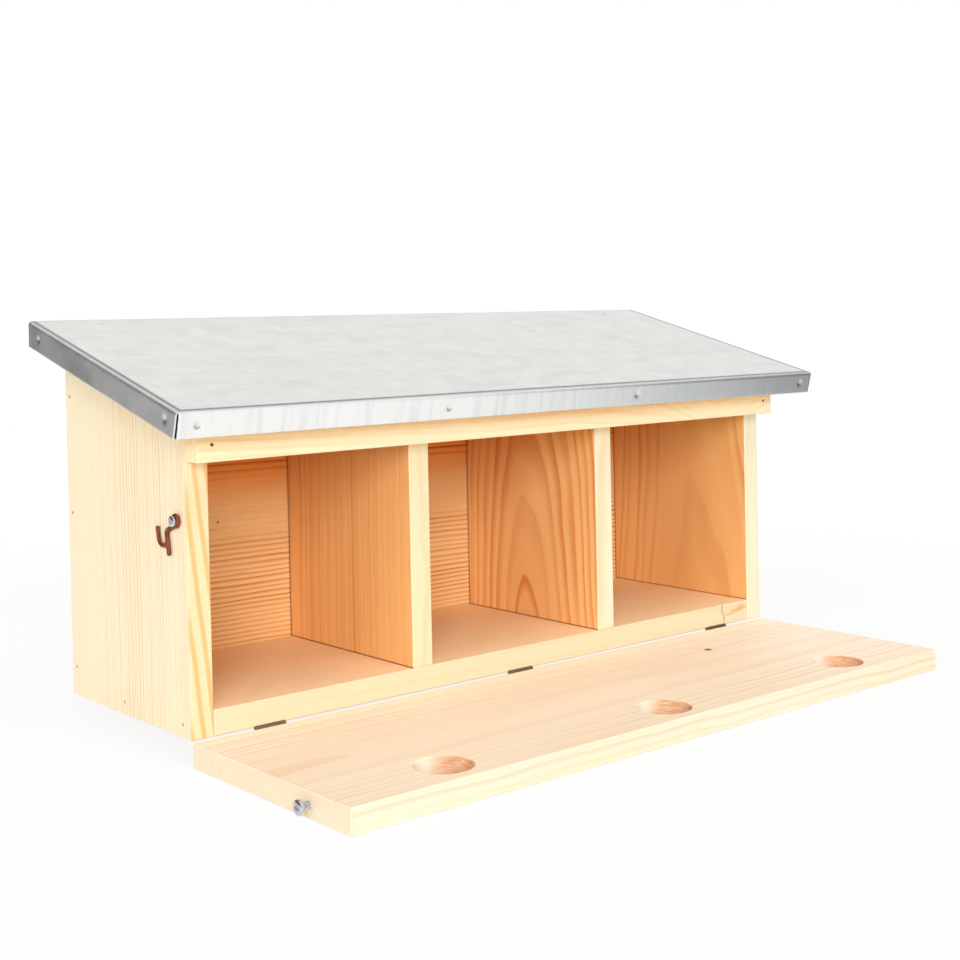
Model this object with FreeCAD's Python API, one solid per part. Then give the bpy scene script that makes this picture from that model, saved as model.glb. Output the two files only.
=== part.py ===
import FreeCAD
import Part
import math
import os

# Sparrow nest box with three chambers, a drop-down front and a metal-clad roof, in millimetres.
# X runs along the front, Y points at the wall, Z is up.
# The origin lies on the wall plane, midway between the two wall screws.
# Everything is drawn with Z = 0 at the underside of the box, and moved to the origin at the end.

# Boards
box_width = 480.0
box_depth = 150.0
side_front_height = 177.0
roof_pitch = 15.0
side_thickness = 14.0
floor_thickness = 15.0
back_thickness = 12.0
partition_thickness = 15.0
centre_chamber_width = 143.0
rail_thickness = 14.0
rail_height = 23.0
edge_round = 0.8

# Drop-down front and its entrance holes
door_thickness = 14.0
door_head_gap = 3.0
door_seat_gap = 0.5
door_open_angle = 90.0
entrance_diameter = 32.0
entrance_inset = 75.0
entrance_drop = 24.0

# Roof board and folded sheet
roof_thickness = 14.0
roof_side_overhang = 22.0
roof_front_overhang = 34.0
sheet_thickness = 0.7
sheet_gap = 0.1
sheet_flange = 14.5
corner_slit = 1.5

# Butt hinges, let into the wood by the thickness of a leaf
hinge_inset = 50.0
hinge_length = 20.0
hinge_fit = 0.2
leaf_width = 12.0
leaf_thickness = 1.0
knuckle_radius = 1.3
knuckle_relief = 0.2
knuckle_gap = 0.2
pin_radius = 0.6
pin_fit = 0.05
leaf_screw_spacing = 11.0
leaf_screw_inset = 4.8
leaf_screw_head_radius = 2.2
leaf_screw_radius = 1.2
leaf_screw_length = 10.0

# Swing hooks, their pivot screws and the catch screws
hook_setback = 9.5
hook_height = 121.0
hook_bar_radius = 1.3
hook_claw_radius = 1.15
hook_dip = 24.0
hook_hang = 10.0
hook_crank_drop = 4.2
hook_crank_bend = 2.2
hook_claw_lift = 5.6
hook_tail = 10.0
hook_play = 0.3
hook_pivot_fit = 0.08
notch_play = 2.0
pivot_screw_radius = 1.5
pivot_screw_head_radius = 3.0
pivot_screw_head_height = 1.9
pivot_screw_grip = 11.0
catch_drop = 6.0
catch_screw_radius = 1.9
catch_screw_head_radius = 4.0
catch_screw_head_height = 2.5
catch_screw_standoff = 5.2
catch_screw_grip = 20.0

# Pan heads: the rim's and the recess's depth as shares of the height, the recess's arms of the radius
pan_rim_share = 0.4
recess_depth_share = 0.6
recess_arm_share = 0.55
recess_width_share = 0.3

# Nails
brad_radius = 0.7
brad_head_radius = 1.0
brad_head_thickness = 0.8
brad_length = 38.0
brad_side_front = 10.0
brad_side_middle = 70.0
brad_side_heights = (18.0, 114.0, 186.0)
brad_partition_heights = (55.0, 160.0)
brad_rail_inset = 9.0
brad_roof_pitch = 52.0
clout_radius = 0.7
clout_head_radius = 1.7
clout_head_thickness = 0.6
clout_length = 12.0
clout_inset = 12.0
clout_front_pitch = 80.0
clout_back_end = 42.0
clout_back_inset = 7.0
nail_fit = 0.05

# Screw holes for hanging the box on a wall
wall_hole_diameter = 6.0
wall_hole_inset = 50.0
wall_hole_height = 130.0

# Places that follow from the sizes above
half_width = box_width / 2
inner_half = half_width - side_thickness
front_y = -box_depth
slope = math.radians(roof_pitch)
side_back_height = side_front_height + box_depth * math.tan(slope)
rail_bottom = side_front_height - rail_height
door_height = rail_bottom - door_head_gap
entrance_pitch = half_width - entrance_inset
partition_x = centre_chamber_width / 2 + partition_thickness / 2
wall_hole_x = half_width - wall_hole_inset
roof_half = half_width + roof_side_overhang
sheet_stand = sheet_gap + sheet_thickness
roof_top = roof_thickness + sheet_stand
roof_run = (box_depth + roof_front_overhang - roof_top * math.sin(slope)) / math.cos(slope)
board_run = roof_run - sheet_stand
pin_y = front_y - door_seat_gap / 2
pin_z = leaf_thickness - knuckle_radius - knuckle_relief
hinge_x = half_width - hinge_inset
hinge_places = {"left": -hinge_x, "centre": 0.0, "right": hinge_x}
catch_y = front_y - door_seat_gap - door_thickness / 2
catch_height = hook_height - catch_drop
pivot_y = front_y + hook_setback
hook_reach = math.hypot(pivot_y - catch_y, catch_drop)

# Length by which a cutting tool runs past the faces it cuts
past = 20.0

X_AXIS = FreeCAD.Vector(1, 0, 0)
Y_AXIS = FreeCAD.Vector(0, 1, 0)
Z_AXIS = FreeCAD.Vector(0, 0, 1)


# Plain shapes
def point(x, y, z):
    return FreeCAD.Vector(x, y, z)


def line(start, end):
    return Part.LineSegment(start, end).toShape()


def arc(start, middle, end):
    return Part.Arc(start, middle, end).toShape()


def block(x0, x1, y0, y1, z0, z1):
    return Part.makeBox(x1 - x0, y1 - y0, z1 - z0, point(x0, y0, z0))


def rod(start, direction, radius, length):
    return Part.makeCylinder(radius, length, start, direction)


def rounded(shape, radius):
    return shape.makeFillet(radius, shape.Edges)


def revolved(outline):
    return Part.Face(outline).revolve(point(0, 0, 0), Z_AXIS, 360)


def turned(corners):
    """A solid of revolution about Z from the corners (radius, height) of its half section."""
    outline = [point(radius, 0, height) for radius, height in corners]
    return revolved(Part.makePolygon(outline + outline[:1]))


def mirrored(shape):
    return shape.mirror(point(0, 0, 0), X_AXIS)


def both_sides(shapes):
    """The shapes and their mirror images across the middle of the box."""
    return shapes + [mirrored(shape) for shape in shapes]


def aim(shape, place, outward):
    """Turns a fastener made along Z so that its head faces outward, and moves it to its place."""
    placed = shape.copy()
    placed.Placement = FreeCAD.Placement(place, FreeCAD.Rotation(Z_AXIS, outward))
    return placed


def roof_under(y):
    """Height of the roof board's underside above a depth y."""
    return side_back_height + y * math.tan(slope)


def upright(x0, x1, y0, y1, bottom):
    """A board that stands from bottom up to the sloping underside of the roof."""
    corners = [point(x0, y0, bottom), point(x0, y1, bottom)]
    corners += [point(x0, y1, roof_under(y1)), point(x0, y0, roof_under(y0))]
    outline = Part.Face(Part.makePolygon(corners + corners[:1]))
    return rounded(outline.extrude(X_AXIS * (x1 - x0)), edge_round)


def on_slope(shape):
    """Tilts what is drawn flat, with the roof board's underside at Z = 0, up to the roof's pitch."""
    tilt = FreeCAD.Placement(point(0, 0, side_back_height), FreeCAD.Rotation(X_AXIS, roof_pitch))
    placed = shape.copy()
    placed.Placement = tilt * placed.Placement
    return placed


# Nails and screws, made along Z with the surface they enter at Z = 0
def brad(fit=0.0):
    """A slim nail driven flush: its head is let into the wood."""
    head = brad_head_radius + fit
    shank = brad_radius + fit
    tip = -brad_length - fit
    under_head = [(0, 0), (head, 0), (head, -brad_head_thickness), (shank, -brad_head_thickness)]
    return turned(under_head + [(shank, tip + 2 * brad_radius), (0, tip)])


def clout(fit=0.0):
    """A short nail whose slightly domed head sits on the sheet."""
    shank = clout_radius + fit
    tip = -clout_length - fit
    top = [(0, clout_head_thickness), (clout_head_radius / 2, clout_head_thickness)]
    rim = [(clout_head_radius, clout_head_thickness / 2), (clout_head_radius, 0), (shank, 0)]
    return turned(top + rim + [(shank, tip + 2 * clout_radius), (0, tip)])


def leaf_screw(fit=0.0):
    """A countersunk screw, flush with the outside of a hinge leaf."""
    head = leaf_screw_head_radius + fit
    shank = leaf_screw_radius + fit
    tip = -leaf_screw_length - fit
    cone = [(0, 0), (head, 0), (shank, -leaf_thickness)]
    return turned(cone + [(shank, tip + 2 * leaf_screw_radius), (0, tip)])


def pan_screw(shank, head, height, neck, grip):
    """A cross-head screw: its domed head starts a neck above the wood, its shank runs a grip into it."""
    top = neck + height
    dome = height * (1 - pan_rim_share)
    dome_radius = (head ** 2 + dome ** 2) / (2 * dome)
    half_angle = math.asin(head / dome_radius) / 2
    crown = point(0, 0, top)
    haunch = point(dome_radius * math.sin(half_angle), 0, top - dome_radius * (1 - math.cos(half_angle)))
    shoulder = point(head, 0, top - dome)
    rim = point(head, 0, neck)
    collar = point(shank, 0, neck)
    taper = point(shank, 0, 2 * shank - grip)
    tip = point(0, 0, -grip)
    outline = [line(collar, rim), line(rim, shoulder), arc(shoulder, haunch, crown)]
    outline += [line(crown, tip), line(tip, taper), line(taper, collar)]
    arm = head * recess_arm_share
    half = head * recess_width_share / 2
    floor = top - height * recess_depth_share
    slot = block(-arm, arm, -half, half, floor, top + past)
    cross = slot.fuse(block(-half, half, -arm, arm, floor, top + past)).removeSplitter()
    return revolved(Part.Wire(outline)).cut(cross)


# Nails that hold the boards together, and the holes they fill
def side_nails(fit=0.0):
    depths = (brad_side_front, brad_side_front + brad_side_middle)
    places = [point(-half_width, front_y + depth, floor_thickness / 2) for depth in depths]
    places += [point(-half_width, -back_thickness / 2, height) for height in brad_side_heights]
    return [aim(brad(fit), place, -X_AXIS) for place in places]


def rail_nails(fit=0.0):
    face = front_y - rail_thickness
    height = (rail_bottom + roof_under(face)) / 2
    return both_sides([aim(brad(fit), point(brad_rail_inset - half_width, face, height), -Y_AXIS)])


def partition_back_nails(fit=0.0):
    places = [point(-partition_x, 0, height) for height in brad_partition_heights]
    return both_sides([aim(brad(fit), place, Y_AXIS) for place in places])


def partition_floor_nails(fit=0.0):
    quarter = (box_depth - back_thickness) / 4
    places = [point(-partition_x, front_y + count * quarter, 0) for count in (1, 3)]
    return both_sides([aim(brad(fit), place, -Z_AXIS) for place in places])


def roof_board_nails(fit=0.0):
    x = side_thickness / 2 - half_width
    middle = -box_depth / math.cos(slope) / 2
    places = [point(x, middle + step * brad_roof_pitch, roof_thickness) for step in (-1, 0, 1)]
    return both_sides([on_slope(aim(brad(fit), place, Z_AXIS)) for place in places])


def roof_sheet_nails(fit=0.0):
    height = roof_top - sheet_flange / 2
    front = [point(-x, -roof_run, height) for x in (roof_half - clout_inset, clout_front_pitch)]
    ends = [point(-roof_half, -depth, height) for depth in (clout_inset, roof_run - clout_inset)]
    nails = [aim(clout(fit), place, -Y_AXIS) for place in front]
    nails += [aim(clout(fit), place, -X_AXIS) for place in ends]
    nails.append(aim(clout(fit), point(clout_back_end - roof_half, -clout_back_inset, roof_top), Z_AXIS))
    return both_sides([on_slope(nail) for nail in nails])


# Boards of the box
def side_left():
    board = upright(-half_width, -inner_half, front_y, 0, 0)
    holes = side_nails(nail_fit) + rail_nails(nail_fit) + roof_board_nails(nail_fit)
    pivot = rod(pivot_place(), X_AXIS, pivot_screw_radius + nail_fit, pivot_screw_grip)
    return board.cut(holes + [pivot])


def floor_board():
    board = rounded(block(-inner_half, inner_half, front_y, -back_thickness, 0, floor_thickness), edge_round)
    holes = both_sides(side_nails(nail_fit)) + partition_floor_nails(nail_fit)
    return board.cut(holes + hinge_recesses() + box_leaf_screws(nail_fit))


def back_panel():
    board = upright(-inner_half, inner_half, -back_thickness, 0, 0)
    holes = both_sides(side_nails(nail_fit)) + partition_back_nails(nail_fit)
    start = point(-wall_hole_x, past, wall_hole_height)
    wall_hole = rod(start, -Y_AXIS, wall_hole_diameter / 2, back_thickness + 2 * past)
    return board.cut(holes + both_sides([wall_hole]))


def partition_left():
    far = -partition_x - partition_thickness / 2
    board = upright(far, far + partition_thickness, front_y, -back_thickness, floor_thickness)
    return board.cut(partition_back_nails(nail_fit) + partition_floor_nails(nail_fit))


def front_rail():
    board = upright(-half_width, half_width, front_y - rail_thickness, front_y, rail_bottom)
    return board.cut(rail_nails(nail_fit))


# Roof
def behind_wall():
    """The space behind the wall plane, which trims the roof plumb at the back."""
    return block(-roof_half - past, roof_half + past, 0, box_depth, 0, side_back_height + box_depth)


def roof_board():
    end = roof_half - sheet_stand
    flat = rounded(block(-end, end, -board_run, past, 0, roof_thickness), edge_round)
    holes = roof_board_nails(nail_fit) + roof_sheet_nails(nail_fit)
    return on_slope(flat).cut([behind_wall()] + holes)


def roof_sheet():
    """A sheet folded down at the front and both ends, with an open slit at each front corner."""
    fold = edge_round + sheet_stand
    reach = fold + corner_slit
    low = roof_top - sheet_flange
    wide = roof_half + past
    far = roof_run + past
    inner_x = roof_half - sheet_thickness
    inner_y = roof_run - sheet_thickness
    outer = block(-roof_half, roof_half, -roof_run, 2 * past, low - past, roof_top)
    inner = block(-inner_x, inner_x, -inner_y, 3 * past, low - 2 * past, roof_top - sheet_thickness)
    below = block(-wide, wide, -far, 3 * past, low - 3 * past, low)
    slit = block(-wide, reach - roof_half, -far, reach - roof_run, low - past, roof_top - reach)
    flat = rounded(outer, fold).cut([rounded(inner, edge_round + sheet_gap), below] + both_sides([slit]))
    return on_slope(flat).cut([behind_wall()] + roof_sheet_nails(nail_fit))


# Hinges, drawn with the front closed
def leaf_knuckles(x, spans, plate_side):
    """A hinge leaf about the pin: a plate flush with the wood, with a rolled knuckle for each span along X."""
    near = pin_y + plate_side * (knuckle_radius + knuckle_relief)
    far = pin_y + plate_side * leaf_width
    low, high = sorted((near, far))
    plate = block(x - hinge_length / 2, x + hinge_length / 2, low, high, 0, leaf_thickness)
    low, high = sorted((pin_y, near))
    pieces = []
    for start, end in spans:
        pieces.append(rod(point(start, pin_y, pin_z), X_AXIS, knuckle_radius, end - start))
        pieces.append(block(start, end, low, high, 0, leaf_thickness))
    bore = rod(point(x - hinge_length, pin_y, pin_z), X_AXIS, pin_radius + pin_fit, 2 * hinge_length)
    return plate.fuse(pieces).cut(bore).removeSplitter()


def hinge_recesses():
    """The pockets that the hinges are let into, each across the joint of the floor and the closed front."""
    length = hinge_length / 2 + hinge_fit
    width = leaf_width + hinge_fit
    places = hinge_places.values()
    return [block(x - length, x + length, pin_y - width, pin_y + width, -past, leaf_thickness) for x in places]


def knuckle_spans(x):
    """Ends along X of the three knuckles of the hinge at x."""
    third = (hinge_length - 2 * knuckle_gap) / 3
    starts = [x - hinge_length / 2 + number * (third + knuckle_gap) for number in range(3)]
    return [(start, start + third) for start in starts]


def leaf_screws(plate_side, fit):
    """The screws of every leaf on one side of the pins."""
    y = pin_y + plate_side * (leaf_width - leaf_screw_inset)
    half = leaf_screw_spacing / 2
    places = [point(x + step, y, 0) for x in hinge_places.values() for step in (-half, half)]
    return [aim(leaf_screw(fit), place, -Z_AXIS) for place in places]


def box_leaf_screws(fit=0.0):
    return leaf_screws(1, fit)


def door_leaf_screws(fit=0.0):
    return leaf_screws(-1, fit)


def box_leaf(x):
    first, _, last = knuckle_spans(x)
    return leaf_knuckles(x, (first, last), 1).cut(box_leaf_screws(nail_fit))


def door_leaf(x):
    _, middle, _ = knuckle_spans(x)
    return leaf_knuckles(x, (middle,), -1).cut(door_leaf_screws(nail_fit))


def hinge_pin(x):
    return rod(point(x - hinge_length / 2, pin_y, pin_z), X_AXIS, pin_radius, hinge_length)


# Front, drawn closed and then let down about the hinge pins
def opened(shape):
    let_down = shape.copy()
    let_down.rotate(point(0, pin_y, pin_z), X_AXIS, door_open_angle)
    return let_down


def catch_place():
    return point(-half_width, catch_y, catch_height)


def front_door():
    """The front board with its round entrances, whose rims are softened like its edges."""
    inner_face = front_y - door_seat_gap
    outer_face = inner_face - door_thickness
    board = rounded(block(-half_width, half_width, outer_face, inner_face, 0, door_height), edge_round)
    radius = entrance_diameter / 2
    height = door_height - entrance_drop
    starts = [point(step * entrance_pitch, inner_face + past, height) for step in (-1, 0, 1)]
    board = board.cut([rod(start, -Y_AXIS, radius, door_thickness + 2 * past) for start in starts])
    curved = [edge for edge in board.Edges if not edge.Degenerated and isinstance(edge.Curve, Part.Circle)]
    rims = [edge for edge in curved if math.isclose(edge.Curve.Radius, radius)]
    board = board.makeFillet(edge_round, rims)
    catch = rod(catch_place(), X_AXIS, catch_screw_radius + nail_fit, catch_screw_grip)
    return board.cut(both_sides([catch]) + hinge_recesses() + door_leaf_screws(nail_fit))


def catch_screw_left():
    head = (catch_screw_head_radius, catch_screw_head_height)
    screw = pan_screw(catch_screw_radius, *head, catch_screw_standoff, catch_screw_grip)
    return aim(screw, catch_place(), -X_AXIS)


# Swing hooks
def pivot_place():
    return point(-half_width, pivot_y, hook_height)


def bent(start, corner, end, radius):
    """A path of two straight runs, with an arc of the radius in place of the corner between them."""
    first = (corner - start).normalize()
    second = (end - corner).normalize()
    half_turn = first.getAngle(second) / 2
    trim = radius * math.tan(half_turn)
    bend_start = corner - first * trim
    bend_end = corner + second * trim
    inward = (second - first).normalize()
    bend_middle = corner + inward * radius * (1 / math.cos(half_turn) - 1)
    return [line(start, bend_start), arc(bend_start, bend_middle, bend_end), line(bend_end, end)]


def bar_along(edges, radius):
    """A round bar swept along a path of edges that run smoothly into each other."""
    path = Part.Wire(edges)
    first = path.Edges[0]
    start = first.valueAt(first.FirstParameter)
    ahead = first.tangentAt(first.FirstParameter)
    section = Part.Wire(Part.makeCircle(radius, start, ahead))
    return path.makePipeShell([section], True, True)


def hook_left():
    """A ring on the pivot screw, a cranked stem that ends in a finger tail, and a claw open at the top.

    It is drawn with its stem upright and then turned to hang as its weight leaves it.
    """
    dip = math.radians(hook_dip)
    claw = hook_claw_radius + catch_screw_radius + notch_play
    pivot = pivot_place() - X_AXIS * (hook_play + hook_bar_radius)
    notch = pivot + point(0, hook_reach * math.cos(dip), -hook_reach * math.sin(dip))
    bore_radius = pivot_screw_radius + hook_pivot_fit
    ring_radius = bore_radius + hook_bar_radius
    ring = Part.makeTorus(ring_radius, hook_bar_radius, pivot, X_AXIS)

    ring_foot = pivot + point(0, ring_radius * math.sin(dip), -ring_radius * math.cos(dip))
    elbow = point(pivot.x, notch.y - claw, pivot.z - hook_crank_drop)
    tail_tip = point(pivot.x, notch.y - claw, notch.z - hook_tail)
    stem = bar_along(bent(ring_foot, elbow, tail_tip, hook_crank_bend), hook_bar_radius)

    claw_end = notch + Y_AXIS * claw
    claw_tip = claw_end + Z_AXIS * hook_claw_lift
    claw_bend = arc(notch - Y_AXIS * claw, notch - Z_AXIS * claw, claw_end)
    claw_bar = bar_along([claw_bend, line(claw_end, claw_tip)], hook_claw_radius)

    tips = [Part.makeSphere(hook_bar_radius, tail_tip), Part.makeSphere(hook_claw_radius, claw_tip)]
    bore = rod(pivot - X_AXIS * past, X_AXIS, bore_radius, 2 * past)
    hook = stem.fuse([ring, claw_bar] + tips).cut(bore).removeSplitter()
    hook.rotate(pivot, X_AXIS, -hook_hang)
    return hook


def hook_screw_left():
    head = (pivot_screw_head_radius, pivot_screw_head_height)
    neck = 2 * hook_bar_radius + 2 * hook_play
    return aim(pan_screw(pivot_screw_radius, *head, neck, pivot_screw_grip), pivot_place(), -X_AXIS)


# Every piece by name, where right-hand pieces mirror the left-hand ones
def build():
    nodes = {}
    nodes["side_left"] = side_left()
    nodes["floor_board"] = floor_board()
    nodes["back_panel"] = back_panel()
    nodes["partition_left"] = partition_left()
    nodes["front_rail"] = front_rail()
    nodes["roof_board"] = roof_board()
    nodes["roof_sheet"] = roof_sheet()
    nodes["front_door"] = opened(front_door())
    for name, x in hinge_places.items():
        nodes["hinge_" + name + "_box_leaf"] = box_leaf(x)
        nodes["hinge_" + name + "_door_leaf"] = opened(door_leaf(x))
        nodes["hinge_" + name + "_pin"] = hinge_pin(x)
    nodes["hinge_screws_box"] = Part.makeCompound(box_leaf_screws())
    nodes["hinge_screws_door"] = opened(Part.makeCompound(door_leaf_screws()))
    nodes["hook_left"] = hook_left()
    nodes["hook_screw_left"] = hook_screw_left()
    nodes["catch_screw_left"] = opened(catch_screw_left())
    nodes["side_nails_left"] = Part.makeCompound(side_nails())
    nodes["rail_nails"] = Part.makeCompound(rail_nails())
    nodes["partition_back_nails"] = Part.makeCompound(partition_back_nails())
    nodes["partition_floor_nails"] = Part.makeCompound(partition_floor_nails())
    nodes["roof_board_nails"] = Part.makeCompound(roof_board_nails())
    nodes["roof_sheet_nails"] = Part.makeCompound(roof_sheet_nails())
    for name in [name for name in nodes if name.endswith("_left")]:
        nodes[name[:-len("left")] + "right"] = mirrored(nodes[name])
    return nodes


os.makedirs("parts", exist_ok=True)
for node_name, node_shape in build().items():
    node_shape.translate(point(0, 0, -wall_hole_height))
    node_shape.exportStep("parts/" + node_name + ".step")
    volume = round(node_shape.Volume, 1)
    print(node_name, len(node_shape.Solids), "solids", volume, "mm3", node_shape.isValid())
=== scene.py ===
# %% [markdown]
# # A sparrow nest box
#
# The box is nailed together from pine boards, with three chambers, a drop-down front with round
# entrances, a lean-to roof under a folded zinc sheet, and a swing hook on each side. The boards
# already have the right shape in the loaded model, so this lesson is mostly about finishes. The small
# metal pieces are made again as surfaces, because close up they need threads and bends.

# %% Load the model
import math

import bmesh
import bpy
import numpy as np
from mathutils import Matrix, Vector


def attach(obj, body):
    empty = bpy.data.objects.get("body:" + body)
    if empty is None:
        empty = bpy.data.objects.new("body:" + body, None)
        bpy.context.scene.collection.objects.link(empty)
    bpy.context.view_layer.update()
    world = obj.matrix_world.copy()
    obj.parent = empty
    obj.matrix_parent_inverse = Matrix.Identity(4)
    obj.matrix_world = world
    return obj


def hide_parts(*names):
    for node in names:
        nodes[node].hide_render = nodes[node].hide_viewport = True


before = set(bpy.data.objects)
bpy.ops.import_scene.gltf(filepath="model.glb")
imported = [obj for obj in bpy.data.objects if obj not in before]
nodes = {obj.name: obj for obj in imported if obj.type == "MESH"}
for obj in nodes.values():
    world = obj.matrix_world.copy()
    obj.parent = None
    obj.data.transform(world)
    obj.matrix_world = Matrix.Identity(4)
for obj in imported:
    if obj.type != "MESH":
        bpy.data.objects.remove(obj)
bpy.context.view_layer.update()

# %% [markdown]
# ## Sizes
#
# Blender works in metres, and a joiner thinks in millimetres, so sizes are written in millimetres and
# scaled once. They could be measured on the loaded boards, but written out they can be read at a
# glance. The origin is on the wall, between the two screw holes, and the underside of the box is 130
# mm below it.

# %% Sizes that several pieces share
MM = 0.001
UNDERSIDE = -130.0
HALF_WIDTH = 240.0
FRONT = -150.0
BACK = -12.0
FLOOR_TOP = UNDERSIDE + 15.0
CHAMBER_WALLS = (71.5, 86.5)
SIDE_FRONT_HEIGHT = 177.0
ROOF_PITCH = math.radians(15.0)
SIDE_BACK_HEIGHT = SIDE_FRONT_HEIGHT - FRONT * math.tan(ROOF_PITCH)
DOOR_GAP = 0.5
DOOR_HEIGHT = 151.0
DOOR_THICKNESS = 14.0
HINGE_DROP = 0.5
DOOR_TOP = UNDERSIDE - HINGE_DROP - DOOR_GAP / 2
DOOR_FRONT = FRONT - DOOR_GAP / 2 - HINGE_DROP - DOOR_HEIGHT
ENTRANCE_RADIUS = 16.0
ENTRANCES = [(x, DOOR_FRONT + 24.0) for x in (-165.0, 0.0, 165.0)]


def metres(*sizes):
    """Millimetres as the metres of a node's vector."""
    return [size * MM for size in sizes]


print("roof", round(SIDE_BACK_HEIGHT, 2), "mm above the underside, open door at", DOOR_TOP)

# %% [markdown]
# ## Building a finish
#
# A finish is a small network of nodes. It could be drawn by hand in the shader editor, but then it
# cannot be read as text, and node by node it is long and dull. So this class has one short method for
# each kind of node, which adds the node, joins up its inputs and returns its output. A finish then
# reads like a row of formulas.


# %% A helper for finishes
def linear(red, green, blue):
    """A screen colour, 0 to 255, as the light that Blender reckons with."""
    shares = np.array([red, green, blue]) / 255
    light = np.where(shares <= 0.04045, shares / 12.92, ((shares + 0.055) / 1.055) ** 2.4)
    return (*light.tolist(), 1.0)


class Finish:
    """A network of nodes: every method adds one and returns its output."""

    def __init__(self, owner):
        self.owner = owner
        owner.use_nodes = True
        self.tree = owner.node_tree
        self.tree.nodes.clear()

    def node(self, kind, inputs, output=0, **settings):
        made = self.tree.nodes.new("ShaderNode" + kind)
        for name, value in settings.items():
            setattr(made, name, value)
        for name, value in inputs.items():
            if isinstance(value, bpy.types.NodeSocket):
                self.tree.links.new(value, made.inputs[name])
            else:
                made.inputs[name].default_value = value
        return made if output is None else made.outputs[output]

    def place(self):
        return self.node("TexCoord", {}, "Object")

    def math(self, operation, *values):
        return self.node("Math", dict(enumerate(values)), operation=operation)

    def times(self, *values):
        return self.math("MULTIPLY", *values)

    def vector(self, operation, *values):
        output = "Value" if operation in ("LENGTH", "DISTANCE", "DOT_PRODUCT") else "Vector"
        return self.node("VectorMath", dict(enumerate(values)), output, operation=operation)

    def noise(self, where, stretch, detail=2.0, output="Fac"):
        """Noise with about stretch bumps to the metre along each axis."""
        place = self.vector("MULTIPLY", where, stretch)
        return self.node("TexNoise", {"Vector": place, "Scale": 1.0, "Detail": detail}, output)

    def step(self, value, start, end, low=0.0, high=1.0):
        """Runs smoothly from low to high while value runs from start to end."""
        inputs = {"Value": value, "From Min": start, "From Max": end, "To Min": low, "To Max": high}
        return self.node("MapRange", inputs, interpolation_type="SMOOTHSTEP")

    def mix(self, share, first, second, blend="MIX"):
        inputs = {0: share, 6: first, 7: second}
        return self.node("Mix", inputs, 2, data_type="RGBA", blend_type=blend)

    def bump(self, height, depth, strength=0.5):
        return self.node("Bump", {"Height": height, "Distance": depth, "Strength": strength})

    def end(self, shader, kind="Material"):
        self.node("Output" + kind, {"Surface": shader}, None)
        return self.owner

    def solid(self, colour, rough, bump, others):
        """The shader for metal and wood."""
        inputs = {"Base Color": colour, "Roughness": rough, "Normal": bump, **others}
        return self.end(self.node("BsdfPrincipled", inputs))


def new_finish(name):
    return Finish(bpy.data.materials.new(name))


print("screen grey 128 gives light", round(linear(128, 128, 128)[0], 3))

# %% [markdown]
# ## Pine
#
# A board's figure is a slice through a tree, which adds a ring each year, pale in spring and dark in
# late summer. A picture of grain could be laid on each face, but then the edges and ends would not
# agree with it. Here the tree itself is described: the distance from the log's middle, the pith, gives
# the year, and where the board lies in the log decides its figure. Near the pith it shows tall arches,
# and far from it straight lines.

# %% Rings of a log
YOUNG = 45.0
DARKEST = 0.88
YEAR_END = 0.9


def ring_lines(net, log, distance, ring, growth, uneven, sharp, steady):
    """How dark a point is by its year, (distance / YOUNG) ** growth * YOUNG / (ring * growth).

    ring is a ring's width at YOUNG from the pith; growth below 1 widens the outer rings and above 1
    narrows them. Within a year the wood darkens from the share called sharp to DARKEST, and drops back
    after YEAR_END. steady is the darkness of the faintest years.
    """
    years = net.math("POWER", net.math("DIVIDE", distance, YOUNG * MM), growth)
    years = net.times(years, YOUNG / (ring * growth))
    wobble = net.node("TexNoise", {"W": years, "Scale": 0.45, "Detail": 1}, noise_dimensions="1D")
    years = net.math("ADD", years, net.times(wobble, uneven * 4))
    season = net.math("FRACT", years)
    line = net.times(net.step(season, sharp, DARKEST), net.step(season, YEAR_END, 1, 1, 0))
    year = net.math("FLOOR", years)
    vigour = net.node("TexWhiteNoise", {"W": year}, "Value", noise_dimensions="1D")
    line = net.times(line, net.step(vigour, 0, 1, steady, 1))
    patch = net.noise(log, (30, 30, 6), 3)
    return net.times(line, net.step(patch, 0.25, 0.65, 0.4, 1))


print("in rings of 3 mm the first", YOUNG, "mm took", YOUNG / 3, "years")

# %% [markdown]
# ### A board in its log
#
# Each board comes from its own place in a log, and no log is quite straight. The board could be moved
# about inside the log, but a Mapping node does the opposite with less trouble: it turns a place on the
# board into a place in the log. Slow noise lets the rings stray, and round a knot they are pushed
# aside.

# %% From a place on the board to a place in the log
FLAT = (1.0, 1.0, 0.0)
front_edge = (1, FRONT + 1.2, FRONT + 0.4)


def log_place(net, where, pith, lie, sway):
    """The place in the log, whose middle runs along Z, and how far the rings stray there."""
    turn = [math.radians(angle) for angle in lie]
    inputs = {"Vector": where, "Location": metres(*pith), "Rotation": turn}
    log = net.node("Mapping", inputs, vector_type="TEXTURE")
    slow = net.noise(log, (22, 22, 7), 2, "Color")
    stray = net.vector("SUBTRACT", slow, (0.5, 0.5, 0.5))
    return log, net.vector("MULTIPLY", stray, metres(4 * sway, 4 * sway, 0))


def from_pith(net, where, log, drift, bends):
    """The length of log plus drift without Z. Each bend adds its push, fading over its reach."""
    spot = net.vector("MULTIPLY", net.vector("ADD", log, drift), FLAT)
    distance = net.vector("LENGTH", spot)
    for place, reach, push in bends:
        apart = net.vector("DISTANCE", where, metres(*place))
        pushed = net.step(apart, reach * MM, 0, 0, push * MM)
        distance = net.math("ADD", distance, pushed)
    return distance


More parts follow.
